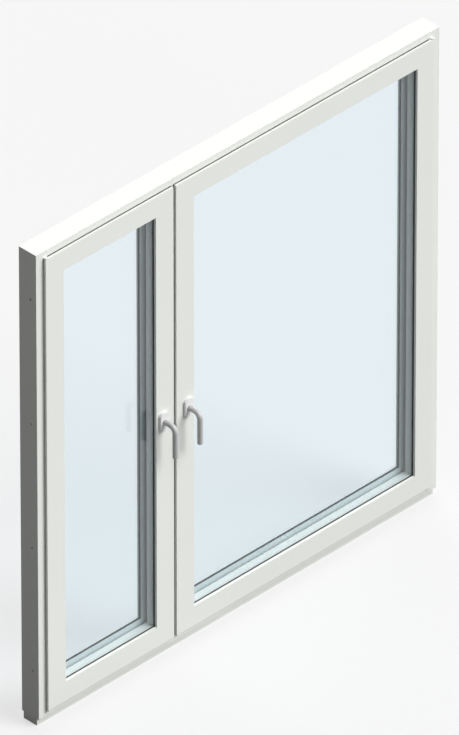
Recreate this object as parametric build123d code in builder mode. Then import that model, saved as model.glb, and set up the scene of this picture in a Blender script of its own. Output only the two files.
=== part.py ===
# Two-sash casement window: outer frame with mullion and base profile, two inward-opening
# glazed sashes on concealed corner pivots, each with a lever handle driving a locking rod.
# Millimetres. +Z is up, -Y is the room side, +Y is outdoors, X runs along the window.
# The origin is the centre of the base profile's underside.
import os
from math import acos, cos, pi, radians, sin, tan

from build123d import *

os.makedirs("parts", exist_ok=True)

# ---- outer frame -------------------------------------------------------------------
WIDTH = 1500.0
HEIGHT = 1500.0
DEPTH = 64.0
WALL = 3.0
BASE_HEIGHT = 25.0
BASE_DEPTH = 50.0
BASE_SETBACK = 10.0
BASE_INSET = 2.0
BASE_WALL = 2.5
CAP_PEG = 8.0
CAP_PLAY = 0.2
RIB_WIDTH = 4.0
RIB_HEIGHT = 2.0
JAMB_MARGIN = 26.0
RAIL_MARGIN = 21.0
STOP_FRONT = 44.0
STOP_LEG = 20.0
FIXING_RADIUS = 3.25
FIXING_DEPTH = 22.0
FIXING_OUTER_PITCH = 1200.0
FIXING_INNER_PITCH = 400.0
DRAIN_LENGTH = 30.0
DRAIN_HEIGHT = 5.0

# ---- sashes ------------------------------------------------------------------------
LEFT_SASH_WIDTH = 470.0
RIGHT_SASH_WIDTH = 968.0
OVERLAP = 8.0
REBATE_GAP = 12.0
SASH_FACE = 65.0
PROUD = 10.0
FLANGE_BACK = -1.0
LEG_BACK = -2.0
PLATFORM = 49.0
BODY_BACK = 34.0
COVER_EDGE = 87.0
SASH_BACK = 41.0
COVER_JOINT = 0.2
SASH_WALL = 2.5
GROOVE_FRONT = 14.0
GROOVE_BACK = 30.0
GROOVE_FLOOR = 22.6
ROD_CHANNEL_FLOOR = 29.0
ROD_CHANNEL_MARGIN = 3.0
CHAMBER_NEAR = 31.0
CHAMBER_FAR = 46.0
CHAMBER_FRONT = 1.0
CHAMBER_BACK = 29.0
FOOT_NEAR = 33.0
FOOT_FAR = 37.0
FOOT_FRONT = 31.0
SEAL_NEAR = 5.0
SEAL_FAR = 7.5
SEAL_PROUD = 0.6
SEAL_FOOT = 2.0

# ---- glazing -----------------------------------------------------------------------
GLASS_EDGE = 54.0
PANE = 4.0
UNIT = 32.0
SPACER_NEAR = 58.0
GASKET_WIDTH = 5.0
GASKET_LIP = 2.0
BLOCK_LENGTH = 100.0

# ---- reinforcement -----------------------------------------------------------------
STEEL = 1.5
STEEL_PLAY = 0.5
STEEL_END = 35.0
CONNECTOR_LENGTH = 70.0
SPIGOT_INSET = 12.0
CONNECTOR_SPIGOT = 4.0

# ---- corner pivots -----------------------------------------------------------------
PIVOT_IN = 5.0
PIVOT_DEPTH = -5.5
PIN_RADIUS = 2.5
PIN_CLEARANCE = 0.05
PIN_LENGTH = 15.0
BUSH_RADIUS = 3.5
EDGE_ROUND = 4.0
TAB_WIDTH = 10.0
TAB_THICKNESS = 2.7
TAB_GAP = 0.3
PLATE_LENGTH = 40.0
PLATE_DEPTH = 3.0

# ---- handle and lock ---------------------------------------------------------------
BACKSET = 41.0
ROSETTE_WIDTH = 30.0
ROSETTE_HEIGHT = 60.0
ROSETTE_STRAIGHT = 42.0
ROSETTE_DEPTH = 8.0
ROSETTE_WALL = 1.6
ROSETTE_BASE = 5.0
ROSETTE_SCREW_PITCH = 43.0
LEVER_RADIUS = 8.0
LEVER_REACH = 39.0
LEVER_BEND = 19.5
LEVER_DROP = 97.0
SPIGOT_RADIUS = 6.0
SPINDLE = 7.0
SOCKET_DEPTH = 12.0
TEETH = 18
MODULE = 1.25
PRESSURE = radians(20)
BACKLASH = 0.24
GEAR_MIDDLE = 22.0
GEAR_THICKNESS = 6.0
HUB_RADIUS = 6.5
HOUSING_HEIGHT = 90.0
HOUSING_NEAR = 27.0
HOUSING_FAR = 49.5
HOUSING_FRONT = 13.0
HOUSING_BACK = 31.0
HOUSING_WALL = 2.0
WINDOW_HALF = 28.0
ROD_NEAR = 23.0
ROD_THICKNESS = 3.0
ROD_WIDTH = 8.0
ROD_HALF = 640.0
FACEPLATE_HALF = 680.0
CAM_HEIGHTS = (-560.0, -230.0, 230.0, 560.0)
CAM_HEAD_RADIUS = 4.5
CAM_STEM_RADIUS = 2.5
CAM_TIP = 13.5
CAM_HEAD_LENGTH = 4.0
STRIKER_LENGTH = 70.0
STRIKER_WIDTH = 20.0
STRIKER_THICKNESS = 2.5
STRIKER_RIB = 1.2
SCREW_HEAD = 3.0
SCREW_HEAD_DEPTH = 1.5
SCREW_RADIUS = 1.75
SCREW_LENGTH = 12.0
TOUCH = 0.4

# ---- derived -----------------------------------------------------------------------
FRONT = -(BASE_SETBACK + BASE_DEPTH / 2)
BACK = FRONT + DEPTH
LEFT = -WIDTH / 2
FOOT = BASE_HEIGHT
TOP = FOOT + HEIGHT
JAMB_WEB = JAMB_MARGIN + OVERLAP
RAIL_WEB = RAIL_MARGIN + OVERLAP
MITRE_SHIFT = JAMB_WEB - RAIL_WEB
SASH_HEIGHT = HEIGHT - 2 * RAIL_MARGIN
SASH_BOTTOM = FOOT + RAIL_MARGIN
SASH_MIDDLE = SASH_BOTTOM + SASH_HEIGHT / 2
LEFT_HINGE_X = LEFT + JAMB_MARGIN
RIGHT_HINGE_X = -LEFT - JAMB_MARGIN
MULLION_LEFT = LEFT_HINGE_X + LEFT_SASH_WIDTH - OVERLAP
MULLION_RIGHT = RIGHT_HINGE_X - RIGHT_SASH_WIDTH + OVERLAP
BODY_EDGE = OVERLAP + REBATE_GAP
PITCH_RADIUS = MODULE * TEETH / 2
TRAVEL = PITCH_RADIUS * pi / 2
BASE_END = WIDTH / 2 - BASE_INSET
CELL_DEPTH = (BASE_DEPTH - 4 * BASE_WALL) / 3
CONNECTOR_X = (MULLION_LEFT + MULLION_RIGHT) / 2


# ---- helpers -----------------------------------------------------------------------
def put(sketch, amount, mode):
    extrude(sketch, amount=amount, mode=mode)


def box(x0, x1, y0, y1, z0, z1, mode=Mode.ADD):
    """A box between two corners given in any order."""
    with Locations(((x0 + x1) / 2, (y0 + y1) / 2, (z0 + z1) / 2)):
        Box(abs(x1 - x0), abs(y1 - y0), abs(z1 - z0), mode=mode)


def prism_z(points, z0, z1, mode=Mode.ADD):
    """A plan outline (x, y) carried from z0 up to z1."""
    with BuildSketch(Plane.XY.offset(z0)) as outline:
        Polygon(*points, align=None)
    put(outline.sketch, z1 - z0, mode)


def prism_x(points, x0, x1, mode=Mode.ADD):
    """A side outline (y, z) carried from x0 to x1."""
    with BuildSketch(Plane.YZ.offset(x0)) as outline:
        Polygon(*points, align=None)
    put(outline.sketch, x1 - x0, mode)


def prism_y(points, y0, y1, mode=Mode.ADD):
    """A front outline (x, z) carried from y0 back to y1."""
    with BuildSketch(Plane(origin=(0, y0, 0), x_dir=(1, 0, 0), z_dir=(0, -1, 0))) as outline:
        Polygon(*points, align=None)
    put(outline.sketch, y0 - y1, mode)


def rod(x, y, z, radius, direction, length, mode=Mode.ADD):
    """A round bar from a point along a direction."""
    with BuildSketch(Plane(origin=(x, y, z), z_dir=direction)) as disc:
        Circle(radius)
    put(disc.sketch, length, mode)


def rect(x0, x1, y0, y1):
    return [(x0, y0), (x1, y0), (x1, y1), (x0, y1)]


def save(builder, name):
    builder.part.label = name
    export_step(builder.part, f"parts/{name}.step")


def fixing_heights():
    """Heights of the wall fixings in each jamb."""
    middle = FOOT + HEIGHT / 2
    return [
        middle + side * pitch / 2
        for pitch in (FIXING_OUTER_PITCH, FIXING_INNER_PITCH)
        for side in (-1, 1)
    ]


def frame_section(web):
    """Outline of a frame bar, measured in from its outer edge and back from its face."""
    leg = web + STOP_LEG
    return [(0, 0), (web, 0), (web, STOP_FRONT), (leg, STOP_FRONT), (leg, DEPTH), (0, DEPTH)]


def frame_chambers(web):
    """The two hollow chambers of a frame bar."""
    return [
        (WALL, web - WALL, WALL, STOP_FRONT),
        (WALL, web + STOP_LEG - WALL, STOP_FRONT + WALL, DEPTH - WALL),
    ]


def jamb_mitre(side):
    """Front outline that cuts a jamb's ends."""
    reach = JAMB_WEB + STOP_LEG + 6
    rise = reach - MITRE_SHIFT
    edge = side * WIDTH / 2
    return [
        (edge, FOOT),
        (edge - side * MITRE_SHIFT, FOOT),
        (edge - side * reach, FOOT + rise),
        (edge - side * reach, TOP - rise),
        (edge - side * MITRE_SHIFT, TOP),
        (edge, TOP),
    ]


def rail_mitre(level, up):
    """Front outline that cuts the ends of the head or the sill."""
    rise = RAIL_WEB + STOP_LEG + 6
    inner = WIDTH / 2 - MITRE_SHIFT - rise
    outer = WIDTH / 2 - MITRE_SHIFT
    return [(-outer, level), (outer, level), (inner, level + up * rise), (-inner, level + up * rise)]


def pivot_recess():
    """Room-side recesses for the four pivot plates."""
    for side in (-1, 1):
        near = side * (WIDTH / 2 - JAMB_MARGIN)
        far = side * (WIDTH / 2 - JAMB_WEB)
        for level, up in ((SASH_BOTTOM, 1), (SASH_BOTTOM + SASH_HEIGHT, -1)):
            start = level - up * (TAB_THICKNESS + TAB_GAP)
            end = level + up * PLATE_LENGTH
            box(near, far, FRONT, FRONT + PLATE_DEPTH, start, end, Mode.SUBTRACT)


def pivot_screws(radius, depth, length, mode=Mode.ADD):
    """Screw positions in the four pivot plates."""
    for side in (-1, 1):
        x = side * (WIDTH / 2 - JAMB_MARGIN - OVERLAP / 2)
        for level, up in ((SASH_BOTTOM, 1), (SASH_BOTTOM + SASH_HEIGHT, -1)):
            for share in (0.3, 0.8):
                z = level + up * share * PLATE_LENGTH
                rod(x, FRONT + depth, z, radius, (0, 1, 0), length, mode)


def striker_screws(radius, depth, length, mode=Mode.ADD):
    """Screw positions in the strikers on both sides of the mullion."""
    for face, into in ((MULLION_LEFT, 1), (MULLION_RIGHT, -1)):
        start = face - into * (STRIKER_THICKNESS - depth)
        for height in CAM_HEIGHTS:
            for end in (-1, 1):
                z = SASH_MIDDLE + height - TRAVEL / 2 + end * (STRIKER_LENGTH / 2 - 7)
                rod(start, FRONT + GEAR_MIDDLE, z, radius, (into, 0, 0), length, mode)


def connector_spigots(mode):
    """Two round spigots at each end of the mullion, let into the sill and the head."""
    for level, up in ((FOOT + RAIL_WEB, 1), (TOP - RAIL_WEB, -1)):
        for d in (SPIGOT_INSET, STOP_FRONT - SPIGOT_INSET):
            rod(CONNECTOR_X, FRONT + d, level, CONNECTOR_SPIGOT, (0, 0, -up), SPIGOT_INSET, mode)


# ---- frame bars --------------------------------------------------------------------
def jamb(name, side):
    edge = side * WIDTH / 2
    with BuildPart() as bar:
        prism_z([(edge - side * v, FRONT + d) for v, d in frame_section(JAMB_WEB)], FOOT, TOP)
        low, high = FOOT + WALL, TOP - WALL
        for v0, v1, d0, d1 in frame_chambers(JAMB_WEB):
            box(edge - side * v0, edge - side * v1, FRONT + d0, FRONT + d1, low, high, Mode.SUBTRACT)
        prism_y(jamb_mitre(side), FRONT, BACK, Mode.INTERSECT)
        pivot_recess()
        pivot_screws(SCREW_RADIUS, 0, SCREW_LENGTH, Mode.SUBTRACT)
        for z in fixing_heights():
            at = (edge + side, FRONT + FIXING_DEPTH, z)
            rod(*at, FIXING_RADIUS, (-side, 0, 0), JAMB_WEB + 2, Mode.SUBTRACT)
    save(bar, name)


def sill_grooves(mode):
    """The two ribs that key the base profile into the sill."""
    for y in (-BASE_DEPTH / 4, BASE_DEPTH / 4):
        ends = WIDTH / 2 - JAMB_WEB
        box(-ends, ends, y - RIB_WIDTH / 2, y + RIB_WIDTH / 2, FOOT, FOOT + RIB_HEIGHT, mode)


def rail(name, level, up):
    with BuildPart() as bar:
        outline = [(FRONT + d, level + up * v) for v, d in frame_section(RAIL_WEB)]
        prism_x(outline, -WIDTH / 2, WIDTH / 2)
        for v0, v1, d0, d1 in frame_chambers(RAIL_WEB):
            z0, z1 = level + up * v0, level + up * v1
            box(-WIDTH / 2, WIDTH / 2, FRONT + d0, FRONT + d1, z0, z1, Mode.SUBTRACT)
        prism_y(rail_mitre(level, up), FRONT, BACK, Mode.INTERSECT)
        pivot_recess()
        connector_spigots(Mode.SUBTRACT)
        if up > 0:
            sill_grooves(Mode.SUBTRACT)
            drains()
    save(bar, name)


def drains():
    """Water slots through the sill's outer wall and its rebate floor, two per light."""
    lights = ((LEFT + JAMB_WEB, MULLION_LEFT), (MULLION_RIGHT, -LEFT - JAMB_WEB))
    for x0, x1 in lights:
        for share in (0.2, 0.8):
            x = x0 + share * (x1 - x0)
            half = DRAIN_LENGTH / 2
            low = FOOT + 2 * WALL
            box(x - half, x + half, BACK - WALL, BACK, low, low + DRAIN_HEIGHT, Mode.SUBTRACT)
            wall = FRONT + STOP_FRONT
            box(x - half, x + half, wall, wall + WALL, low, low + DRAIN_HEIGHT, Mode.SUBTRACT)
            floor = FOOT + RAIL_WEB
            y = wall - 2 * DRAIN_HEIGHT
            box(x - half, x + half, y, y + DRAIN_HEIGHT, floor - WALL, floor, Mode.SUBTRACT)


jamb("frame_left_jamb", -1)
jamb("frame_right_jamb", 1)
rail("frame_sill", FOOT, 1)
rail("frame_head", TOP, -1)

with BuildPart() as mullion:
    box(MULLION_LEFT, MULLION_RIGHT, FRONT, FRONT + STOP_FRONT, FOOT + RAIL_WEB, TOP - RAIL_WEB)
    low, high = FOOT + RAIL_WEB + STOP_LEG, TOP - RAIL_WEB - STOP_LEG
    box(MULLION_LEFT - STOP_LEG, MULLION_RIGHT + STOP_LEG, FRONT + STOP_FRONT, BACK, low, high)
    x0, x1 = MULLION_LEFT + WALL, MULLION_RIGHT - WALL
    box(x0, x1, FRONT + WALL, FRONT + STOP_FRONT, FOOT, TOP, Mode.SUBTRACT)
    x0, x1 = MULLION_LEFT - STOP_LEG + WALL, MULLION_RIGHT + STOP_LEG - WALL
    box(x0, x1, FRONT + STOP_FRONT + WALL, BACK - WALL, FOOT, TOP, Mode.SUBTRACT)
    striker_screws(SCREW_RADIUS, 0, SCREW_LENGTH, Mode.SUBTRACT)
save(mullion, "mullion")



def cell_fronts():
    """Front faces of the base profile's three cells."""
    return [-BASE_DEPTH / 2 + BASE_WALL + n * (CELL_DEPTH + BASE_WALL) for n in range(3)]


with BuildPart() as base_profile:
    ends = BASE_END - BASE_WALL
    box(-ends, ends, -BASE_DEPTH / 2, BASE_DEPTH / 2, 0, BASE_HEIGHT)
    sill_grooves(Mode.ADD)
    for y in cell_fronts():
        box(-ends, ends, y, y + CELL_DEPTH, BASE_WALL, BASE_HEIGHT - BASE_WALL, Mode.SUBTRACT)
save(base_profile, "base_profile")

with BuildPart() as base_end_caps:
    for side in (-1, 1):
        inner = side * (BASE_END - BASE_WALL)
        box(inner, side * BASE_END, -BASE_DEPTH / 2, BASE_DEPTH / 2, 0, BASE_HEIGHT)
        for y in cell_fronts():
            deep = (y + CAP_PLAY, y + CELL_DEPTH - CAP_PLAY)
            high = (BASE_WALL + CAP_PLAY, BASE_HEIGHT - BASE_WALL - CAP_PLAY)
            box(inner, inner - side * CAP_PEG, *deep, *high)
save(base_end_caps, "base_end_caps")


# ---- steel inside the frame --------------------------------------------------------
with BuildPart() as frame_reinforcement:
    back = FRONT + STOP_FRONT - STEEL_PLAY
    for side in (-1, 1):
        edge = side * WIDTH / 2
        near, far = edge - side * WALL, edge - side * (JAMB_WEB - WALL - STEEL_PLAY)
        z0, z1 = FOOT + STEEL_END, TOP - STEEL_END
        box(near, far, FRONT + WALL, back, z0, z1)
        near, far = near - side * STEEL, far + side * STEEL
        box(near, far, FRONT + WALL + STEEL, back - STEEL, z0, z1, Mode.SUBTRACT)
        for z in fixing_heights():
            rod(edge, FRONT + FIXING_DEPTH, z, FIXING_RADIUS, (-side, 0, 0), JAMB_WEB, Mode.SUBTRACT)
    for level, up in ((FOOT, 1), (TOP, -1)):
        near, far = level + up * WALL, level + up * (RAIL_WEB - WALL - STEEL_PLAY)
        ends = WIDTH / 2 - STEEL_END - MITRE_SHIFT
        box(-ends, ends, FRONT + WALL, back, near, far)
        near, far = near + up * STEEL, far - up * STEEL
        box(-ends, ends, FRONT + WALL + STEEL, back - STEEL, near, far, Mode.SUBTRACT)
    x0, x1 = MULLION_LEFT + WALL, MULLION_RIGHT - WALL
    z0, z1 = FOOT + RAIL_WEB + CONNECTOR_LENGTH, TOP - RAIL_WEB - CONNECTOR_LENGTH
    box(x0, x1, FRONT + WALL, back, z0, z1)
    box(x0 + STEEL, x1 - STEEL, FRONT + WALL + STEEL, back - STEEL, z0, z1, Mode.SUBTRACT)
    striker_screws(SCREW_RADIUS, 0, SCREW_LENGTH, Mode.SUBTRACT)
    pivot_screws(SCREW_RADIUS, 0, SCREW_LENGTH, Mode.SUBTRACT)
    connector_spigots(Mode.SUBTRACT)
save(frame_reinforcement, "frame_reinforcement")

with BuildPart() as mullion_connectors:
    x0, x1 = MULLION_LEFT + WALL, MULLION_RIGHT - WALL
    for level, up in ((FOOT + RAIL_WEB, 1), (TOP - RAIL_WEB, -1)):
        end = level + up * (CONNECTOR_LENGTH - STEEL_PLAY)
        box(x0, x1, FRONT + WALL, FRONT + STOP_FRONT, level, end)
    connector_spigots(Mode.ADD)
save(mullion_connectors, "mullion_connectors")


# ---- seals, strikers and pivots on the frame ---------------------------------------
def ring(x0, x1, z0, z1, near, far, d0, d1, mode=Mode.ADD):
    """A rectangular loop lying between two insets of a rectangle."""
    with BuildSketch(Plane(origin=(0, FRONT + d0, 0), x_dir=(1, 0, 0), z_dir=(0, -1, 0))) as loop:
        Polygon(*rect(x0 + near, x1 - near, z0 + near, z1 - near), align=None)
        Polygon(*rect(x0 + far, x1 - far, z0 + far, z1 - far), align=None, mode=Mode.SUBTRACT)
    put(loop.sketch, d0 - d1, mode)


def light(side):
    """Outer edges of a sash in the closed window."""
    if side < 0:
        return LEFT_HINGE_X, LEFT_HINGE_X + LEFT_SASH_WIDTH
    return RIGHT_HINGE_X - RIGHT_SASH_WIDTH, RIGHT_HINGE_X


with BuildPart() as stop_gaskets:
    for side in (-1, 1):
        x0, x1 = light(side)
        front = SASH_BACK + TOUCH
        z0, z1 = SASH_BOTTOM, SASH_BOTTOM + SASH_HEIGHT
        ring(x0, x1, z0, z1, BODY_EDGE + 1, BODY_EDGE + 6, front, STOP_FRONT)
save(stop_gaskets, "stop_gaskets")

with BuildPart() as strikers:
    for face, out in ((MULLION_LEFT, -1), (MULLION_RIGHT, 1)):
        for height in CAM_HEIGHTS:
            z = SASH_MIDDLE + height - TRAVEL / 2
            z0, z1 = z - STRIKER_LENGTH / 2, z + STRIKER_LENGTH / 2
            y = FRONT + GEAR_MIDDLE
            half = STRIKER_WIDTH / 2
            box(face, face + out * STRIKER_THICKNESS, y - half, y + half, z0, z1)
            top = face + out * (STRIKER_THICKNESS + STRIKER_RIB)
            for edge in (-1, 1):
                box(face, top, y + edge * half, y + edge * (half - 2), z0 + 6, z1 - 6)
    striker_screws(SCREW_HEAD, 0, SCREW_HEAD_DEPTH, Mode.SUBTRACT)
    striker_screws(SCREW_RADIUS, 0, SCREW_LENGTH, Mode.SUBTRACT)
save(strikers, "strikers")

with BuildPart() as hardware_screws:
    striker_screws(SCREW_HEAD, 0, SCREW_HEAD_DEPTH)
    striker_screws(SCREW_RADIUS, 0, SCREW_LENGTH)
    pivot_screws(SCREW_HEAD, 0, SCREW_HEAD_DEPTH)
    pivot_screws(SCREW_RADIUS, 0, SCREW_LENGTH)
save(hardware_screws, "hardware_screws")


def pivots(name, side):
    """Upper and lower pivot plates: a plate let into the frame, a tab and a pin."""
    edge = side * (WIDTH / 2 - JAMB_MARGIN)
    axis = edge - side * PIVOT_IN
    with BuildPart() as pair:
        for level, up in ((SASH_BOTTOM, 1), (SASH_BOTTOM + SASH_HEIGHT, -1)):
            outer = level - up * (TAB_THICKNESS + TAB_GAP)
            inner = level - up * TAB_GAP
            far = edge - side * OVERLAP
            box(edge, far, FRONT, FRONT + PLATE_DEPTH, outer, level + up * PLATE_LENGTH)
            box(edge, edge - side * TAB_WIDTH, FRONT + PIVOT_DEPTH, FRONT, outer, inner)
            rod(axis, FRONT + PIVOT_DEPTH, outer, TAB_WIDTH / 2, (0, 0, up), TAB_THICKNESS)
            rod(axis, FRONT + PIVOT_DEPTH, inner, PIN_RADIUS, (0, 0, up), PIN_LENGTH)
        pivot_screws(SCREW_HEAD, 0, SCREW_HEAD_DEPTH, Mode.SUBTRACT)
        pivot_screws(SCREW_RADIUS, 0, SCREW_LENGTH, Mode.SUBTRACT)
    save(pair, name)


pivots("left_pivots", -1)
pivots("right_pivots", 1)


# ---- sash section ------------------------------------------------------------------
def sash_section():
    """Outline of a sash bar, in from its outer edge and back from the frame's face."""
    return [
        (0, -PROUD),
        (SASH_FACE, -PROUD),
        (SASH_FACE, LEG_BACK),
        (PLATFORM, LEG_BACK),
        (PLATFORM, BODY_BACK),
        (FOOT_FAR, BODY_BACK),
        (FOOT_FAR, FOOT_FRONT),
        (FOOT_NEAR, FOOT_FRONT),
        (FOOT_NEAR, BODY_BACK),
        (BODY_EDGE, BODY_BACK),
        (BODY_EDGE, GROOVE_BACK),
        (GROOVE_FLOOR, GROOVE_BACK),
        (GROOVE_FLOOR, GROOVE_BACK - ROD_CHANNEL_MARGIN),
        (ROD_CHANNEL_FLOOR, GROOVE_BACK - ROD_CHANNEL_MARGIN),
        (ROD_CHANNEL_FLOOR, GROOVE_FRONT + ROD_CHANNEL_MARGIN),
        (GROOVE_FLOOR, GROOVE_FRONT + ROD_CHANNEL_MARGIN),
        (GROOVE_FLOOR, GROOVE_FRONT),
        (BODY_EDGE, GROOVE_FRONT),
        (BODY_EDGE, FLANGE_BACK),
        (SEAL_FAR - TOUCH, FLANGE_BACK),
        (SEAL_FAR - TOUCH, FLANGE_BACK - SEAL_FOOT),
        (SEAL_NEAR + TOUCH, FLANGE_BACK - SEAL_FOOT),
        (SEAL_NEAR + TOUCH, FLANGE_BACK),
        (0, FLANGE_BACK),
    ]


def sash_chambers():
    """Hollow chambers of a sash bar."""
    return [
        (CHAMBER_NEAR, CHAMBER_FAR, CHAMBER_FRONT, CHAMBER_BACK),
        (BODY_EDGE + SASH_WALL, CHAMBER_FAR, -PROUD + SASH_WALL, -1.5),
        (BODY_EDGE + SASH_WALL, ROD_CHANNEL_FLOOR - 1, CHAMBER_FRONT, GROOVE_FRONT - 2),
    ]


def gear_tooth(angle):
    """Outline of one involute tooth of the follower, about its own axis."""
    base = PITCH_RADIUS * cos(PRESSURE)

    def half_angle(radius):
        roll = acos(min(1.0, base / radius))
        half = (pi * MODULE / 4 - BACKLASH / 2) / PITCH_RADIUS
        return half + (tan(PRESSURE) - PRESSURE) - (tan(roll) - roll)

    root = PITCH_RADIUS - 1.25 * MODULE
    tip = PITCH_RADIUS + 0.9 * MODULE
    radii = [base + (tip - base) * n / 4 for n in range(5)]
    flank = [(root - 1, half_angle(base))] + [(r, half_angle(r)) for r in radii]
    loop = [(r, a) for r, a in flank] + [(r, -a) for r, a in reversed(flank)]
    return [(r * cos(angle + a), r * sin(angle + a)) for r, a in loop]


def oval(middle, z, inset):
    """Rosette outline: straight sides and shallow round ends."""
    half = ROSETTE_WIDTH / 2 - inset
    side = ROSETTE_STRAIGHT / 2
    tip = ROSETTE_HEIGHT / 2 - inset
    Line((middle - half, z - side), (middle - half, z + side))
    ThreePointArc((middle - half, z + side), (middle, z + tip), (middle + half, z + side))
    Line((middle + half, z + side), (middle + half, z - side))
    ThreePointArc((middle + half, z - side), (middle, z - tip), (middle - half, z - side))


# ---- one complete sash -------------------------------------------------------------
def sash(tag, hinge_x, s, width):
    """All pieces of one sash. Local x runs from the hinge edge; s is its sign along X."""
    z0, z1 = SASH_BOTTOM, SASH_BOTTOM + SASH_HEIGHT
    x0, x1 = sorted((hinge_x, hinge_x + s * width))
    spindle_x = hinge_x + s * (width - BACKSET)

    def lx(u):
        return hinge_x + s * u

    def lock(u):
        return hinge_x + s * (width - u)

    def mitre(end, joint):
        """Front outlines of the four mitred bars, with an open joint of the given width."""
        reach = COVER_EDGE + 1
        a, b = z0 + reach, z1 - reach
        if end in ("hinge", "lock"):
            place = lx if end == "hinge" else lock
            outer, inner = place(0), place(reach)
            return [(outer, z0 + joint), (inner, a + joint), (inner, b - joint), (outer, z1 - joint)]
        if end == "bottom":
            return [(x0, z0), (x1, z0), (x1 - reach, a), (x0 + reach, a)]
        return [(x0, z1), (x1, z1), (x1 - reach, b), (x0 + reach, b)]

    def bar(end, outline, chambers, d0, d1, joint=0.0):
        """A mitred bar of the given section on one side of the sash."""
        if end in ("hinge", "lock"):
            place = lx if end == "hinge" else lock
            prism_z([(place(u), FRONT + d) for u, d in outline], z0, z1)
            for u0, u1, c0, c1 in chambers:
                box(place(u0), place(u1), FRONT + c0, FRONT + c1, z0, z1, Mode.SUBTRACT)
        else:
            level, up = (z0, 1) if end == "bottom" else (z1, -1)
            prism_x([(FRONT + d, level + up * u) for u, d in outline], x0, x1)
            for u0, u1, c0, c1 in chambers:
                za, zb = level + up * u0, level + up * u1
                box(x0, x1, FRONT + c0, FRONT + c1, za, zb, Mode.SUBTRACT)
        prism_y(mitre(end, joint), FRONT + d0, FRONT + d1, Mode.INTERSECT)

    def hinge_edge():
        """Rounds the back of the hinge-side flange and bores both pivot holes."""
        with BuildSketch(Plane.XY.offset(z0)) as corner:
            y = FRONT + FLANGE_BACK
            Polygon(*rect(lx(0), lx(EDGE_ROUND), y - EDGE_ROUND, y), align=None)
            with Locations((lx(EDGE_ROUND), y - EDGE_ROUND)):
                Circle(EDGE_ROUND, mode=Mode.SUBTRACT)
        put(corner.sketch, SASH_HEIGHT, Mode.SUBTRACT)
        for level, up in ((z0, 1), (z1, -1)):
            depth = PIN_LENGTH + 1
            rod(lx(PIVOT_IN), FRONT + PIVOT_DEPTH, level, BUSH_RADIUS, (0, 0, up), depth, Mode.SUBTRACT)

    for end, name in (("hinge", "hinge_stile"), ("top", "top_rail"), ("bottom", "bottom_rail")):
        with BuildPart() as member:
            bar(end, sash_section(), sash_chambers(), -PROUD, BODY_BACK)
            hinge_edge()
        save(member, f"{tag}_{name}")

    def handle_screws(radius, d0, d1, mode=Mode.ADD):
        for up in (-1, 1):
            z = SASH_MIDDLE + up * ROSETTE_SCREW_PITCH / 2
            rod(spindle_x, FRONT + d0, z, radius, (0, 1, 0), d1 - d0, mode)

    housing_low = SASH_MIDDLE - HOUSING_HEIGHT / 2
    housing_high = SASH_MIDDLE + HOUSING_HEIGHT / 2

    with BuildPart() as lock_stile:
        bar("lock", sash_section(), sash_chambers(), -PROUD, BODY_BACK)
        pocket = (FRONT + HOUSING_FRONT, FRONT + HOUSING_BACK, housing_low, housing_high)
        box(lock(GROOVE_FLOOR), lock(HOUSING_FAR), *pocket, Mode.SUBTRACT)
        depth = PROUD + HOUSING_FRONT + 1
        rod(spindle_x, FRONT - PROUD, SASH_MIDDLE, SPIGOT_RADIUS, (0, 1, 0), depth, Mode.SUBTRACT)
        handle_screws(CAM_STEM_RADIUS, -PROUD, HOUSING_FRONT, Mode.SUBTRACT)
    save(lock_stile, f"{tag}_lock_stile")

    with BuildPart() as reinforcement:
        near, far = CHAMBER_NEAR, CHAMBER_FAR - STEEL_PLAY
        y0, y1 = FRONT + CHAMBER_FRONT, FRONT + CHAMBER_BACK - STEEL_PLAY
        low, high = z0 + CHAMBER_FAR + 2, z1 - CHAMBER_FAR - 2
        runs = [(lx, low, high), (lock, low, housing_low - 5), (lock, housing_high + 5, high)]
        for place, za, zb in runs:
            box(place(near), place(far), y0, y1, za, zb)
            box(place(near + STEEL), place(far - STEEL), y0 + STEEL, y1 - STEEL, za, zb, Mode.SUBTRACT)
        ends = (x0 + CHAMBER_FAR + 2, x1 - CHAMBER_FAR - 2)
        for level, up in ((z0, 1), (z1, -1)):
            box(*ends, y0, y1, level + up * near, level + up * far)
            za, zb = level + up * (near + STEEL), level + up * (far - STEEL)
            box(*ends, y0 + STEEL, y1 - STEEL, za, zb, Mode.SUBTRACT)
    save(reinforcement, f"{tag}_reinforcement")

    outline = [
        (BODY_EDGE, BODY_BACK),
        (FOOT_NEAR, BODY_BACK),
        (FOOT_NEAR, FOOT_FRONT),
        (FOOT_FAR, FOOT_FRONT),
        (FOOT_FAR, BODY_BACK),
        (COVER_EDGE, BODY_BACK),
        (COVER_EDGE, SASH_BACK),
        (BODY_EDGE, SASH_BACK),
    ]
    hollow = [(BODY_EDGE + 2, COVER_EDGE - 2, BODY_BACK + 2, SASH_BACK - 2)]
    cover_bars = []
    for end in ("hinge", "lock", "bottom", "top"):
        with BuildPart() as cover_bar:
            bar(end, outline, hollow, FOOT_FRONT, SASH_BACK, COVER_JOINT)
        cover_bars.append(cover_bar.part)

    with BuildPart() as cover_frame:
        add(cover_bars)
    save(cover_frame, f"{tag}_cover_frame")

    with BuildPart() as inner_pane:
        edge = GLASS_EDGE
        box(x0 + edge, x1 - edge, FRONT, FRONT + PANE, z0 + edge, z1 - edge)
    save(inner_pane, f"{tag}_inner_pane")

    with BuildPart() as outer_pane:
        edge = GLASS_EDGE
        box(x0 + edge, x1 - edge, FRONT + UNIT - PANE, FRONT + UNIT, z0 + edge, z1 - edge)
    save(outer_pane, f"{tag}_outer_pane")

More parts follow.
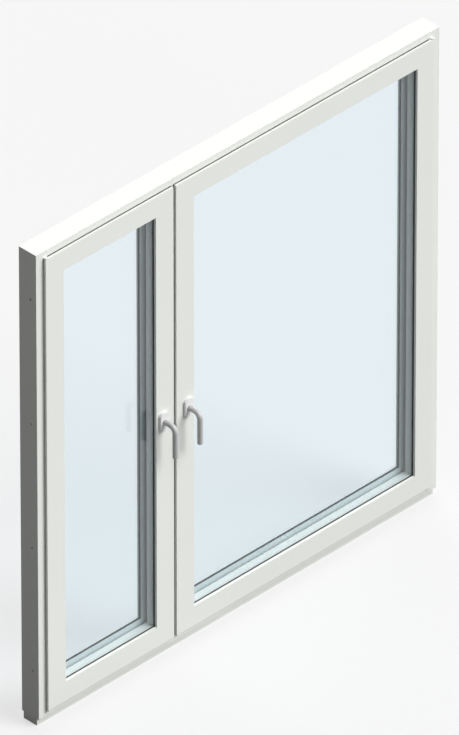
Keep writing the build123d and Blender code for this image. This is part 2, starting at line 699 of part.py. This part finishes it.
    with BuildPart() as spacer:
        ring(x0, x1, z0, z1, SPACER_NEAR, SASH_FACE, PANE, UNIT - PANE)
        ring(x0, x1, z0, z1, SPACER_NEAR + 1, SASH_FACE - 1, PANE + 1, UNIT - PANE - 1, Mode.SUBTRACT)
    save(spacer, f"{tag}_spacer")

    with BuildPart() as glazing_gaskets:
        for edge, d0, d1 in ((SASH_FACE, LEG_BACK, 0), (COVER_EDGE, UNIT, BODY_BACK)):
            near, far = edge + GASKET_LIP - GASKET_WIDTH, edge + GASKET_LIP
            ring(x0, x1, z0, z1, near, far, d0, d1)
    save(glazing_gaskets, f"{tag}_glazing_gaskets")

    with BuildPart() as setting_blocks:
        half = BLOCK_LENGTH / 2
        for share in (0.2, 0.8):
            x = x0 + GLASS_EDGE + share * (width - 2 * GLASS_EDGE)
            z = z0 + GLASS_EDGE + share * (SASH_HEIGHT - 2 * GLASS_EDGE)
            for level, up in ((z0, 1), (z1, -1)):
                za, zb = level + up * PLATFORM, level + up * GLASS_EDGE
                box(x - half / 2, x + half / 2, FRONT, FRONT + UNIT, za, zb)
            for place in (lx, lock):
                box(place(PLATFORM), place(GLASS_EDGE), FRONT, FRONT + UNIT, z - half, z + half)
    save(setting_blocks, f"{tag}_setting_blocks")

    with BuildPart() as overlap_gasket:
        ring(x0, x1, z0, z1, SEAL_NEAR, SEAL_FAR, FLANGE_BACK, FLANGE_BACK + SEAL_PROUD)
        ring(x0, x1, z0, z1, SEAL_NEAR + TOUCH, SEAL_FAR - TOUCH, FLANGE_BACK - SEAL_FOOT, FLANGE_BACK)
        for level, up in ((z0, 1), (z1, -1)):
            at = (lx(PIVOT_IN), FRONT + PIVOT_DEPTH, level)
            rod(*at, BUSH_RADIUS, (0, 0, up), PIN_LENGTH + 1, Mode.SUBTRACT)
    save(overlap_gasket, f"{tag}_overlap_gasket")

    with BuildPart() as pivot_bushes:
        bore = PIN_RADIUS + PIN_CLEARANCE
        for level, up in ((z0, 1), (z1, -1)):
            at = (lx(PIVOT_IN), FRONT + PIVOT_DEPTH, level)
            rod(*at, BUSH_RADIUS, (0, 0, up), PIN_LENGTH + 1)
            rod(*at, bore, (0, 0, up), PIN_LENGTH + 1, Mode.SUBTRACT)
    save(pivot_bushes, f"{tag}_pivot_bushes")

    # -- lock -----------------------------------------------------------------------
    gear_y = FRONT + GEAR_MIDDLE

    with BuildPart() as gearbox:
        y0, y1 = FRONT + HOUSING_FRONT, FRONT + HOUSING_BACK
        box(lock(HOUSING_NEAR), lock(HOUSING_FAR), y0, y1, housing_low, housing_high)
        inner = (y0 + HOUSING_WALL, y1 - HOUSING_WALL)
        low, high = SASH_MIDDLE - WINDOW_HALF, SASH_MIDDLE + WINDOW_HALF
        box(lock(HOUSING_NEAR), lock(HOUSING_FAR - 1.5), *inner, low, high, Mode.SUBTRACT)
        hole = HUB_RADIUS + PIN_CLEARANCE
        rod(spindle_x, y0, SASH_MIDDLE, hole, (0, 1, 0), y1 - y0, Mode.SUBTRACT)
        handle_screws(CAM_STEM_RADIUS, HOUSING_FRONT, HOUSING_FRONT + HOUSING_WALL, Mode.SUBTRACT)
    save(gearbox, f"{tag}_gearbox")

    with BuildPart() as faceplate:
        low, high = SASH_MIDDLE - FACEPLATE_HALF, SASH_MIDDLE + FACEPLATE_HALF
        box(lock(BODY_EDGE), lock(GROOVE_FLOOR), FRONT + GROOVE_FRONT, FRONT + GROOVE_BACK, low, high)
        for height in CAM_HEIGHTS:
            half = CAM_STEM_RADIUS + 0.5
            z = SASH_MIDDLE + height
            slot = (gear_y - half, gear_y + half, z - TRAVEL - half - 1, z + half + 1)
            box(lock(BODY_EDGE), lock(GROOVE_FLOOR), *slot, Mode.SUBTRACT)
    save(faceplate, f"{tag}_faceplate")

    with BuildPart() as drive_rod:
        y0, y1 = gear_y - ROD_WIDTH / 2, gear_y + ROD_WIDTH / 2
        low, high = SASH_MIDDLE - ROD_HALF, SASH_MIDDLE + ROD_HALF
        back_u = ROD_NEAR + ROD_THICKNESS
        box(lock(ROD_NEAR), lock(back_u), y0, y1, low, high)
        pitch = pi * MODULE
        line = BACKSET - PITCH_RADIUS
        root, tip = line - 1.2 * MODULE, line + 0.9 * MODULE
        rack_low, rack_high = SASH_MIDDLE - 1.5 * pitch, SASH_MIDDLE + 6 * pitch
        rack = (gear_y - GEAR_THICKNESS / 2, gear_y + GEAR_THICKNESS / 2)
        box(lock(back_u), lock(root), *rack, rack_low, rack_high)
        for n in range(-1, 6):
            z = SASH_MIDDLE + (n + 0.5) * pitch
            middle_half = pi * MODULE / 4 - BACKLASH / 2
            wide = middle_half + (line - root) * tan(PRESSURE)
            slim = middle_half - (tip - line) * tan(PRESSURE)
            below = [(lock(root), z - wide), (lock(tip), z - slim)]
            above = [(lock(tip), z + slim), (lock(root), z + wide)]
            prism_y(below + above, *rack)
    save(drive_rod, f"{tag}_drive_rod")

    with BuildPart() as locking_cams:
        for height in CAM_HEIGHTS:
            z = SASH_MIDDLE + height
            out = (-s, 0, 0)
            rod(lock(CAM_TIP), gear_y, z, CAM_STEM_RADIUS, out, ROD_NEAR - CAM_TIP)
            rod(lock(CAM_TIP), gear_y, z, CAM_HEAD_RADIUS, out, CAM_HEAD_LENGTH)
    save(locking_cams, f"{tag}_locking_cams")

    with BuildPart() as follower:
        centre = (spindle_x, gear_y - GEAR_THICKNESS / 2, SASH_MIDDLE)
        with BuildSketch(Plane(origin=centre, x_dir=(s, 0, 0), z_dir=(0, -s, 0))) as gear:
            root = PITCH_RADIUS - 1.25 * MODULE
            step = 2 * pi / TEETH
            angles = [step * (n / 2 - 1.3) for n in range(14)]
            Polygon((0, 0), *[(root * cos(a), root * sin(a)) for a in angles], align=None)
            for n in range(-1, 6):
                Polygon(*gear_tooth(n * step), align=None)
        put(gear.sketch, -s * GEAR_THICKNESS, Mode.ADD)
        d0 = HOUSING_FRONT + 0.5
        rod(spindle_x, FRONT + d0, SASH_MIDDLE, HUB_RADIUS, (0, 1, 0), HOUSING_BACK - 1 - d0)
        side = SPINDLE / 2
        reach = (FRONT + HOUSING_FRONT, FRONT + HOUSING_BACK, SASH_MIDDLE - side, SASH_MIDDLE + side)
        box(spindle_x - side, spindle_x + side, *reach, Mode.SUBTRACT)
    save(follower, f"{tag}_follower")

    # -- handle ---------------------------------------------------------------------
    face = FRONT - PROUD
    rosette_face = face - ROSETTE_DEPTH
    facing = {"x_dir": (1, 0, 0), "z_dir": (0, -1, 0)}

    with BuildPart() as rosette:
        with BuildSketch(Plane(origin=(0, face, 0), **facing)) as outer:
            with BuildLine():
                oval(spindle_x, SASH_MIDDLE, 0)
            make_face()
        extrude(outer.sketch, amount=ROSETTE_DEPTH)
        rim = rosette.faces().sort_by(Axis.Y)[0].edges()
        fillet(rim, 0.8)
        with BuildSketch(Plane(origin=(0, face, 0), **facing)) as inner:
            with BuildLine():
                oval(spindle_x, SASH_MIDDLE, ROSETTE_WALL)
            make_face()
        extrude(inner.sketch, amount=ROSETTE_DEPTH - ROSETTE_WALL, mode=Mode.SUBTRACT)
        bore = SPIGOT_RADIUS + PIN_CLEARANCE
        rod(spindle_x, rosette_face, SASH_MIDDLE, bore, (0, 1, 0), ROSETTE_DEPTH, Mode.SUBTRACT)
    save(rosette, f"{tag}_rosette")

    with BuildPart() as rosette_base:
        with BuildSketch(Plane(origin=(0, face, 0), **facing)) as outer:
            with BuildLine():
                oval(spindle_x, SASH_MIDDLE, ROSETTE_WALL)
            make_face()
        extrude(outer.sketch, amount=ROSETTE_BASE)
        rod(spindle_x, face - ROSETTE_BASE, SASH_MIDDLE, bore, (0, 1, 0), ROSETTE_BASE, Mode.SUBTRACT)
        front = -PROUD - ROSETTE_BASE
        handle_screws(CAM_STEM_RADIUS, front, -PROUD, Mode.SUBTRACT)
        handle_screws(CAM_HEAD_RADIUS, front, front + CAM_STEM_RADIUS, Mode.SUBTRACT)
    save(rosette_base, f"{tag}_rosette_base")

    with BuildPart() as rosette_screws:
        handle_screws(CAM_STEM_RADIUS, front, HOUSING_FRONT + HOUSING_WALL)
        handle_screws(CAM_HEAD_RADIUS, front, front + CAM_STEM_RADIUS)
    save(rosette_screws, f"{tag}_rosette_screws")

    neck = rosette_face - TAB_GAP
    grip = rosette_face - LEVER_REACH
    socket = neck - SOCKET_DEPTH

    with BuildPart() as lever:
        with BuildLine() as path:
            out = Line((spindle_x, neck, SASH_MIDDLE), (spindle_x, grip + LEVER_BEND, SASH_MIDDLE))
            bend = LEVER_BEND * (1 - cos(pi / 4))
            turn = ThreePointArc(
                out @ 1,
                (spindle_x, grip + bend, SASH_MIDDLE - bend),
                (spindle_x, grip, SASH_MIDDLE - LEVER_BEND),
            )
            Line(turn @ 1, (spindle_x, grip, SASH_MIDDLE - LEVER_DROP))
        with BuildSketch(Plane(origin=(spindle_x, neck, SASH_MIDDLE), **facing)):
            Circle(LEVER_RADIUS)
        sweep(path=path.line)
        chamfer(lever.faces().sort_by(Axis.Z)[0].edges(), 0.8)
        rod(spindle_x, neck, SASH_MIDDLE, SPIGOT_RADIUS, (0, 1, 0), ROSETTE_DEPTH - TOUCH)
        side = SPINDLE / 2
        reach = (socket, face, SASH_MIDDLE - side, SASH_MIDDLE + side)
        box(spindle_x - side, spindle_x + side, *reach, Mode.SUBTRACT)
    save(lever, f"{tag}_lever")

    with BuildPart() as spindle:
        reach = (socket, FRONT + HOUSING_BACK - HOUSING_WALL, SASH_MIDDLE - side, SASH_MIDDLE + side)
        box(spindle_x - side, spindle_x + side, *reach)
    save(spindle, f"{tag}_spindle")


sash("left", LEFT_HINGE_X, 1, LEFT_SASH_WIDTH)
sash("right", RIGHT_HINGE_X, -1, RIGHT_SASH_WIDTH)
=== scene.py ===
# Looks for the casement window: materials, seals, stage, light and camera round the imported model.
import math

import bmesh
import bpy
from mathutils import Matrix, Vector


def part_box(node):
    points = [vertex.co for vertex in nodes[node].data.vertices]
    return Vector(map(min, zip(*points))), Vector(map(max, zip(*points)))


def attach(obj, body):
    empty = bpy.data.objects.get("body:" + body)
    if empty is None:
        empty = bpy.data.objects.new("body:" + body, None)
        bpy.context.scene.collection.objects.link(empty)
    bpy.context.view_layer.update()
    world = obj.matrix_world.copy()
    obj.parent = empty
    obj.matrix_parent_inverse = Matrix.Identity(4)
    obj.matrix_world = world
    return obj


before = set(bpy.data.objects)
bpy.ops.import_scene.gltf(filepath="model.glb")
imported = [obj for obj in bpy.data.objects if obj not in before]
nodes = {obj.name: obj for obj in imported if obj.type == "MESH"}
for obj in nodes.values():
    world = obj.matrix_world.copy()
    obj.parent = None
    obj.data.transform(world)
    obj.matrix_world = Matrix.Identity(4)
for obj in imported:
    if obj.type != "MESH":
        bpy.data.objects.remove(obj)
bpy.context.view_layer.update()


def add_object(name, data):
    """A new object in the scene."""
    obj = bpy.data.objects.new(name, data)
    bpy.context.scene.collection.objects.link(obj)
    return obj


# ---- camera ------------------------------------------------------------------------ A
# long lens far away, because the picture is an isometric drawing.
AZIMUTH = math.radians(-44.982)
ELEVATION = math.radians(35.257)
LENS = 1000.0
SENSOR = 36.0
DISTANCE = 54.105
AIM = Vector((-0.0165, -0.0153, 0.7927))
CLIP_NEAR, CLIP_FAR = 1.0, 200.0


def add_camera():
    data = bpy.data.cameras.new("camera")
    data.lens = LENS
    data.sensor_width = SENSOR
    data.clip_start, data.clip_end = CLIP_NEAR, CLIP_FAR
    back = Vector(
        (
            math.sin(AZIMUTH) * math.cos(ELEVATION),
            -math.cos(AZIMUTH) * math.cos(ELEVATION),
            math.sin(ELEVATION),
        )
    )
    camera = add_object("camera", data)
    camera.location = AIM + back * DISTANCE
    camera.rotation_mode = "QUATERNION"
    camera.rotation_quaternion = (-back).to_track_quat("-Z", "Y")
    bpy.context.scene.camera = camera


add_camera()

# ---- node helpers ------------------------------------------------------------------
EVEN = (1, 1, 1)
BUMP_STRENGTH = 0.3


def feed(tree, socket, value):
    """Gives an input a value, or links another node's output to it."""
    if isinstance(value, bpy.types.NodeSocket):
        tree.links.new(value, socket)
    else:
        socket.default_value = value


def add(tree, kind, **inputs):
    """A node with its inputs fed by name."""
    node = tree.nodes.new(kind)
    for key, value in inputs.items():
        feed(tree, node.inputs[key.replace("_", " ")], value)
    return node


def in_order(tree, kind, values, operation=None):
    """A node with its inputs fed in order, and its operation if it has one."""
    node = tree.nodes.new(kind)
    if operation:
        node.operation = operation
    for socket, value in zip(node.inputs, values):
        feed(tree, socket, value)
    return node


def maths(tree, operation, *values):
    """The result of one step of arithmetic."""
    return in_order(tree, "ShaderNodeMath", values, operation).outputs["Value"]


def vectors(tree, operation, *values, result="Vector"):
    """The result of one step of vector arithmetic."""
    return in_order(tree, "ShaderNodeVectorMath", values, operation).outputs[result]


def mix(tree, share, first, second):
    """Two shaders mixed: a share of 0 gives the first, and 1 the second."""
    return in_order(tree, "ShaderNodeMixShader", (share, first, second)).outputs["Shader"]


def in_range(tree, factor, low, high):
    """A factor from 0 to 1 mapped to a range of numbers."""
    node = add(tree, "ShaderNodeMapRange", Value=factor, To_Min=low, To_Max=high)
    return node.outputs["Result"]


def ramp(tree, factor, low, high):
    """A factor from 0 to 1 mapped to a blend of two colours."""
    node = add(tree, "ShaderNodeValToRGB", Fac=factor)
    node.color_ramp.elements[0].color = low
    node.color_ramp.elements[1].color = high
    return node.outputs["Color"]


def noise(tree, scale, detail=3.0, rough=0.5, stretch=EVEN):
    """Noise in the object's own metres. A stretch below 1 draws it out along that axis."""
    place = tree.nodes.new("ShaderNodeTexCoord")
    mapping = add(tree, "ShaderNodeMapping", Vector=place.outputs["Object"], Scale=stretch)
    texture = add(
        tree,
        "ShaderNodeTexNoise",
        Vector=mapping.outputs["Vector"],
        Scale=scale,
        Detail=detail,
        Roughness=rough,
    )
    return texture.outputs["Fac"]


def bump(tree, height, distance):
    """A normal tilted by a height, whose relief is a distance in metres."""
    node = add(tree, "ShaderNodeBump", Height=height, Strength=BUMP_STRENGTH, Distance=distance)
    return node.outputs["Normal"]


def grey(level):
    return (level, level, level, 1.0)


# ---- materials ---------------------------------------------------------------------
# The sheen level is below the physical default of 0.5, to keep the sides that face away
# from the key dark, as in the picture.
SHEEN_LEVEL = 0.35

# Noise scales are per metre, and reliefs are in metres.
PLASTIC_IOR = 1.5
PLASTIC_DRIFT, PLASTIC_PATCH, PLASTIC_GRAIN = 3.0, 40.0, 900.0
PLASTIC_RELIEF = 0.00004
PLASTIC_SMOOTHER, PLASTIC_ROUGHER = 0.04, 0.05

METAL_GRAIN = 600.0
METAL_RELIEF = 0.00003
METAL_SMOOTHER, METAL_ROUGHER = 0.06, 0.08
SPANGLE = 60.0
DRAWN = (1, 1, 0.05)
BRUSHED = (1, 1, 0.1)
LACQUER_ROUGH = 0.42
LACQUER_METALLIC = 0.04

GLASS_ROUGH = 0.02
MIRROR_HEAD_ON = 0.04
SCHLICK_POWER = 5.0

WHITE = (0.80, 0.82, 0.78)


def new_material(name):
    mat = bpy.data.materials.new(name)
    mat.use_nodes = True
    tree = mat.node_tree
    tree.nodes.clear()
    out = tree.nodes.new("ShaderNodeOutputMaterial")
    return mat, tree, out


def tones(colour, variation):
    """A colour made a little darker and a little lighter."""
    dark = tuple(c * (1 - variation) for c in colour) + (1.0,)
    light = tuple(min(1.0, c * (1 + variation)) for c in colour) + (1.0,)
    return dark, light


def plastic(name, colour, rough=0.32, variation=0.02):
    """Moulded or extruded plastic: faint tone drift, fine surface grain, a soft sheen."""
    mat, tree, out = new_material(name)
    drift = noise(tree, PLASTIC_DRIFT, detail=2.0)
    patch = noise(tree, PLASTIC_PATCH)
    grain = noise(tree, PLASTIC_GRAIN, detail=2.0)
    shader = add(
        tree,
        "ShaderNodeBsdfPrincipled",
        Base_Color=ramp(tree, drift, *tones(colour, variation)),
        Roughness=in_range(tree, patch, rough - PLASTIC_SMOOTHER, rough + PLASTIC_ROUGHER),
        Normal=bump(tree, grain, PLASTIC_RELIEF),
        IOR=PLASTIC_IOR,
        Specular_IOR_Level=SHEEN_LEVEL,
    )
    tree.links.new(shader.outputs["BSDF"], out.inputs["Surface"])
    return mat


def grained(name, colour, rough, stretch, variation, scale=METAL_GRAIN):
    """A material whose tone, roughness and relief follow one grain, and its shader."""
    mat, tree, out = new_material(name)
    streak = noise(tree, scale, rough=0.6, stretch=stretch)
    shader = add(
        tree,
        "ShaderNodeBsdfPrincipled",
        Base_Color=ramp(tree, streak, *tones(colour, variation)),
        Roughness=in_range(tree, streak, rough - METAL_SMOOTHER, rough + METAL_ROUGHER),
        Normal=bump(tree, streak, METAL_RELIEF),
    )
    tree.links.new(shader.outputs["BSDF"], out.inputs["Surface"])
    return mat, shader


def metal(name, colour, rough, stretch=EVEN, variation=0.04, scale=METAL_GRAIN):
    """Bare or plated metal."""
    mat, shader = grained(name, colour, rough, stretch, variation, scale)
    shader.inputs["Metallic"].default_value = 1.0
    return mat


def lacquer(name, colour):
    """Satin lacquer with a brushed grain and hardly any metal in it."""
    mat, shader = grained(name, colour, LACQUER_ROUGH, BRUSHED, variation=0.02)
    shader.inputs["Metallic"].default_value = LACQUER_METALLIC
    shader.inputs["Specular IOR Level"].default_value = SHEEN_LEVEL
    return mat


def glass(name, tint):
    """Float glass: a thin mirror over clear tinted transmission that lets lamps through.

    The mirror's share grows with the slant of the view, by Schlick's rule.
    """
    mat, tree, out = new_material(name)
    clear = add(tree, "ShaderNodeBsdfTransparent", Color=tint)
    mirror = add(tree, "ShaderNodeBsdfGlossy", Color=grey(1.0), Roughness=GLASS_ROUGH)
    slant = add(tree, "ShaderNodeLayerWeight", Blend=0.5)
    steep = maths(tree, "POWER", slant.outputs["Facing"], SCHLICK_POWER)
    share = maths(tree, "MULTIPLY_ADD", steep, 1 - MIRROR_HEAD_ON, MIRROR_HEAD_ON)
    pane = mix(tree, share, clear.outputs["BSDF"], mirror.outputs["BSDF"])
    tree.links.new(pane, out.inputs["Surface"])
    return mat


materials = {
    "frame": plastic("frame_upvc", WHITE),
    "sash": plastic("sash_upvc", WHITE),
    "base": plastic("base_upvc", (0.78, 0.80, 0.76), rough=0.4),
    "steel": metal("galvanised_steel", (0.60, 0.62, 0.64), 0.42, variation=0.12, scale=SPANGLE),
    "alloy": metal("die_cast_alloy", (0.62, 0.62, 0.63), 0.5),
    "seal": plastic("seal_rubber", (0.035, 0.036, 0.037), rough=0.7, variation=0.08),
    "hardware": metal("zinc_steel", (0.66, 0.67, 0.68), 0.34, DRAWN),
    "screw": metal("screw_steel", (0.55, 0.56, 0.58), 0.3),
    "pivot": plastic("pivot_enamel", WHITE, rough=0.3),
    "glass": glass("pane_glass", (0.955, 0.980, 0.992, 1.0)),
    "spacer": plastic("spacer_edge", (0.74, 0.76, 0.73), rough=0.5),
    "block": plastic("block_plastic", (0.05, 0.055, 0.06), rough=0.55),
    "brass": metal("bush_brass", (0.72, 0.55, 0.26), 0.3),
    # Painted shade: the lever is finished like the rosette, but its colour is set darker here to
    # stand in for the shade on its round grip.
    "lever": lacquer("lever_lacquer_painted_shade", (0.50, 0.50, 0.505)),
    "rosette": lacquer("rosette_lacquer", (0.80, 0.80, 0.80)),
}
FINISH = {
    "frame": "frame",
    "base_profile": "base",
    "base_end_caps": "base",
    "mullion": "frame",
    "reinforcement": "steel",
    "connectors": "alloy",
    "gasket": "seal",
    "strikers": "hardware",
    "screws": "screw",
    "pivots": "pivot",
    "stile": "sash",
    "rail": "sash",
    "cover_frame": "sash",
    "pane": "glass",
    "spacer": "spacer",
    "blocks": "block",
    "bushes": "brass",
    "gearbox": "hardware",
    "faceplate": "hardware",
    "rosette": "rosette",
    "rosette_base": "block",
    "rosette_screws": "screw",
    "drive_rod": "hardware",
    "cams": "hardware",
    "lever": "lever",
    "spindle": "screw",
    "follower": "hardware",
}


def finish_of(node):
    """The material for the longest key that the node's name holds."""
    keys = [key for key in FINISH if key in node]
    return materials[FINISH[max(keys, key=len)]]


for name, obj in nodes.items():
    obj.data.materials.clear()
    obj.data.materials.append(finish_of(name))

# ---- edges -------------------------------------------------------------------------
# The bars' long edges are rounded by modifiers, so the CAD meshes stay as they are. An
# edge runs along an axis if at least ALONG of its direction does, and lies on a face if it
# is within ON_FACE of it. FLANGE_BACK is where the sash's flange ends along Y.
ROUNDED = ("stile", "rail", "jamb", "head", "sill", "cover_frame", "base_profile")
EDGE_RADIUS = 0.002
ROUND_STEPS = 2
SHARP_FROM = math.radians(40)
ALONG = 0.999
ON_FACE = 0.0001
FLANGE_BACK = -0.036


def add_bevel(obj, width):
    bevel = obj.modifiers.new("round", "BEVEL")
    bevel.width = width
    bevel.segments = ROUND_STEPS
    return bevel


def edge_picker(name, low, high):
    """Nodes that mark a bar's long edges: at its front and back, and at the flange's back rim."""
    tree = bpy.data.node_groups.new(name, "GeometryNodeTree")
    for way in ("INPUT", "OUTPUT"):
        tree.interface.new_socket("Geometry", in_out=way, socket_type="NodeSocketGeometry")
    enter = tree.nodes.new("NodeGroupInput")
    leave = tree.nodes.new("NodeGroupOutput")
    ends = tree.nodes.new("GeometryNodeInputMeshEdgeVertices")
    start, end = ends.outputs["Position 1"], ends.outputs["Position 2"]
    run = vectors(tree, "NORMALIZE", vectors(tree, "SUBTRACT", start, end))
    heading = add(tree, "ShaderNodeSeparateXYZ", Vector=run)
    spot = add(tree, "ShaderNodeSeparateXYZ", Vector=start)

    def along(axis):
        part = maths(tree, "ABSOLUTE", heading.outputs[axis])
        return maths(tree, "GREATER_THAN", part, ALONG)

    def at_any(axis, levels):
        found = 0.0
        for level in levels:
            gap = maths(tree, "ABSOLUTE", maths(tree, "SUBTRACT", spot.outputs[axis], level))
            found = maths(tree, "MAXIMUM", maths(tree, "LESS_THAN", gap, ON_FACE), found)
        return found

    long_edge = maths(tree, "MAXIMUM", along("X"), along("Z"))
    rim = maths(tree, "MAXIMUM", at_any("X", (low.x, high.x)), at_any("Z", (low.z, high.z)))
    behind = maths(tree, "MULTIPLY", at_any("Y", (FLANGE_BACK,)), rim)
    at_face = maths(tree, "MAXIMUM", at_any("Y", (low.y, high.y)), behind)
    angle = tree.nodes.new("GeometryNodeInputMeshEdgeAngle")
    sharp = maths(tree, "GREATER_THAN", angle.outputs["Unsigned Angle"], SHARP_FROM)
    weight = maths(tree, "MULTIPLY", maths(tree, "MULTIPLY", long_edge, at_face), sharp)
    store = tree.nodes.new("GeometryNodeStoreNamedAttribute")
    store.data_type = "FLOAT"
    store.domain = "EDGE"
    store.inputs["Name"].default_value = "bevel_weight_edge"
    tree.links.new(enter.outputs["Geometry"], store.inputs["Geometry"])
    tree.links.new(weight, store.inputs["Value"])
    tree.links.new(store.outputs["Geometry"], leave.inputs["Geometry"])
    return tree


def round_edges(obj):
    """Rounds a bar's long edges. Corners 0 and 6 of its box are the lowest and the highest."""
    low, high = Vector(obj.bound_box[0]), Vector(obj.bound_box[6])
    picker = obj.modifiers.new("long_edges", "NODES")
    picker.node_group = edge_picker(f"{obj.name}_edges", low, high)
    bevel = add_bevel(obj, EDGE_RADIUS)
    bevel.limit_method = "WEIGHT"
    bevel.use_clamp_overlap = False


for name, obj in nodes.items():
    if any(key in name for key in ROUNDED):
        round_edges(obj)

# ---- rim seals ---------------------------------------------------------------------
# A seal stands a little proud of its sash's rim and is let in deeper than the rounding.
# Along Y it runs from inside the flange to just short of the frame's face.
SEAL_PROUD, SEAL_LET_IN = 0.0013, 0.0024
SEAL_FRONT, SEAL_BACK = -0.0378, -0.0353
SEAL_ROUND = 0.0004
HINGE_CLEAR = 0.014


def add_block(mesh, low, high):
    """A box between two corners, added to a bmesh."""
    low, high = Vector(low), Vector(high)
    size = Matrix.Diagonal((high - low).to_4d())
    bmesh.ops.create_cube(mesh, size=1.0, matrix=Matrix.Translation((low + high) / 2) @ size)


def rim_seal(side, inward):
    """The rubber lip behind a sash's top, lock-side and bottom rims.

    Inward is 1 where +X leads from the hinge to the lock, and -1 where -X does.
    """
    low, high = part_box(f"{side}_top_rail")
    top = high.z
    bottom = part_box(f"{side}_bottom_rail")[0].z
    hinge, lock = (low.x, high.x) if inward > 0 else (high.x, low.x)
    outer = lock + inward * SEAL_PROUD
    mesh = bmesh.new()
    left, right = sorted((hinge + inward * HINGE_CLEAR, outer))
    add_block(mesh, (left, SEAL_FRONT, top - SEAL_LET_IN), (right, SEAL_BACK, top + SEAL_PROUD))
    add_block(mesh, (left, SEAL_FRONT, bottom - SEAL_PROUD), (right, SEAL_BACK, bottom + SEAL_LET_IN))
    left, right = sorted((lock - inward * SEAL_LET_IN, outer))
    add_block(mesh, (left, SEAL_FRONT, bottom + SEAL_LET_IN), (right, SEAL_BACK, top - SEAL_LET_IN))
    data = bpy.data.meshes.new(f"{side}_rim_seal")
    mesh.to_mesh(data)
    mesh.free()
    data.materials.append(materials["seal"])
    seal = add_object(f"{side}_rim_seal", data)
    add_bevel(seal, SEAL_ROUND)
    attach(seal, f"{side}_sash")


rim_seal("left", 1)
rim_seal("right", -1)

# ---- stage and light ---------------------------------------------------------------
FLOOR_REACH = 100.0
FLOOR_DRIFT = 0.8
FLOOR_DARK, FLOOR_LIGHT = 0.23, 0.25
FLOOR_BOUNCE = 0.06
FLOOR_GLOW = 0.645
KEY_TOWARDS = (0.36, -0.62, 0.68)
KEY_SPREAD = math.radians(35)
KEY_STRENGTH = 2.98
FILL_TOWARDS = (0.5, 0.82, 0.28)
FILL_SPREAD = math.radians(60)
FILL_STRENGTH = 1.8
DOME_TOWARDS = Vector((0.62, -0.5, 0.62)).normalized()
DOME_LOW, DOME_HIGH = 0.05, 0.72
BACKDROP = 0.93


def floor_material():
    """A pale floor. Most of its brightness is its own glow, and it lights matt faces little."""
    mat, tree, out = new_material("floor_pale")
    drift = noise(tree, FLOOR_DRIFT, detail=1.0)
    shade = ramp(tree, drift, grey(FLOOR_DARK), grey(FLOOR_LIGHT))
    lit = add(tree, "ShaderNodeBsdfDiffuse", Color=shade)
    glow = add(tree, "ShaderNodeEmission", Color=grey(1.0), Strength=FLOOR_GLOW)
    both = in_order(tree, "ShaderNodeAddShader", (lit.outputs["BSDF"], glow.outputs["Emission"]))
    dim = add(tree, "ShaderNodeBsdfDiffuse", Color=grey(FLOOR_BOUNCE))
    scattered = tree.nodes.new("ShaderNodeLightPath").outputs["Is Diffuse Ray"]
    surface = mix(tree, scattered, both.outputs["Shader"], dim.outputs["BSDF"])
    tree.links.new(surface, out.inputs["Surface"])
    return mat


def add_floor():
    signs = ((-1, -1), (1, -1), (1, 1), (-1, 1))
    corners = [(x * FLOOR_REACH, y * FLOOR_REACH, 0) for x, y in signs]
    mesh = bpy.data.meshes.new("floor")
    mesh.from_pydata(corners, [], [(0, 1, 2, 3)])
    mesh.materials.append(floor_material())
    floor = add_object("floor", mesh)


def add_lamp(name, towards, spread, strength):
    """A broad distant lamp: even light over the whole window with soft shadows."""
    data = bpy.data.lights.new(name, "SUN")
    data.energy = strength
    data.angle = spread
    lamp = add_object(name, data)
    lamp.rotation_mode = "QUATERNION"
    lamp.rotation_quaternion = Vector(towards).to_track_quat("Z", "Y")


def add_studio():
    """A soft dome, brightest high up on the key's side, and a plain backdrop for the camera."""
    world = bpy.data.worlds.new("studio")
    bpy.context.scene.world = world
    world.use_nodes = True
    tree = world.node_tree
    tree.nodes.clear()
    out = tree.nodes.new("ShaderNodeOutputWorld")
    heading = tree.nodes.new("ShaderNodeTexCoord").outputs["Generated"]
    towards = vectors(tree, "DOT_PRODUCT", heading, DOME_TOWARDS, result="Value")
    level = in_range(tree, towards, DOME_LOW, DOME_HIGH)
    dome = add(tree, "ShaderNodeBackground", Color=grey(1.0), Strength=level)
    backdrop = add(tree, "ShaderNodeBackground", Color=grey(1.0), Strength=BACKDROP)
    seen = tree.nodes.new("ShaderNodeLightPath").outputs["Is Camera Ray"]
    sky = mix(tree, seen, dome.outputs["Background"], backdrop.outputs["Background"])
    tree.links.new(sky, out.inputs["Surface"])


add_floor()
add_lamp("key", KEY_TOWARDS, KEY_SPREAD, KEY_STRENGTH)
add_lamp("fill", FILL_TOWARDS, FILL_SPREAD, FILL_STRENGTH)
add_studio()

view = bpy.context.scene.view_settings
view.view_transform = "Standard"
view.look = "None"
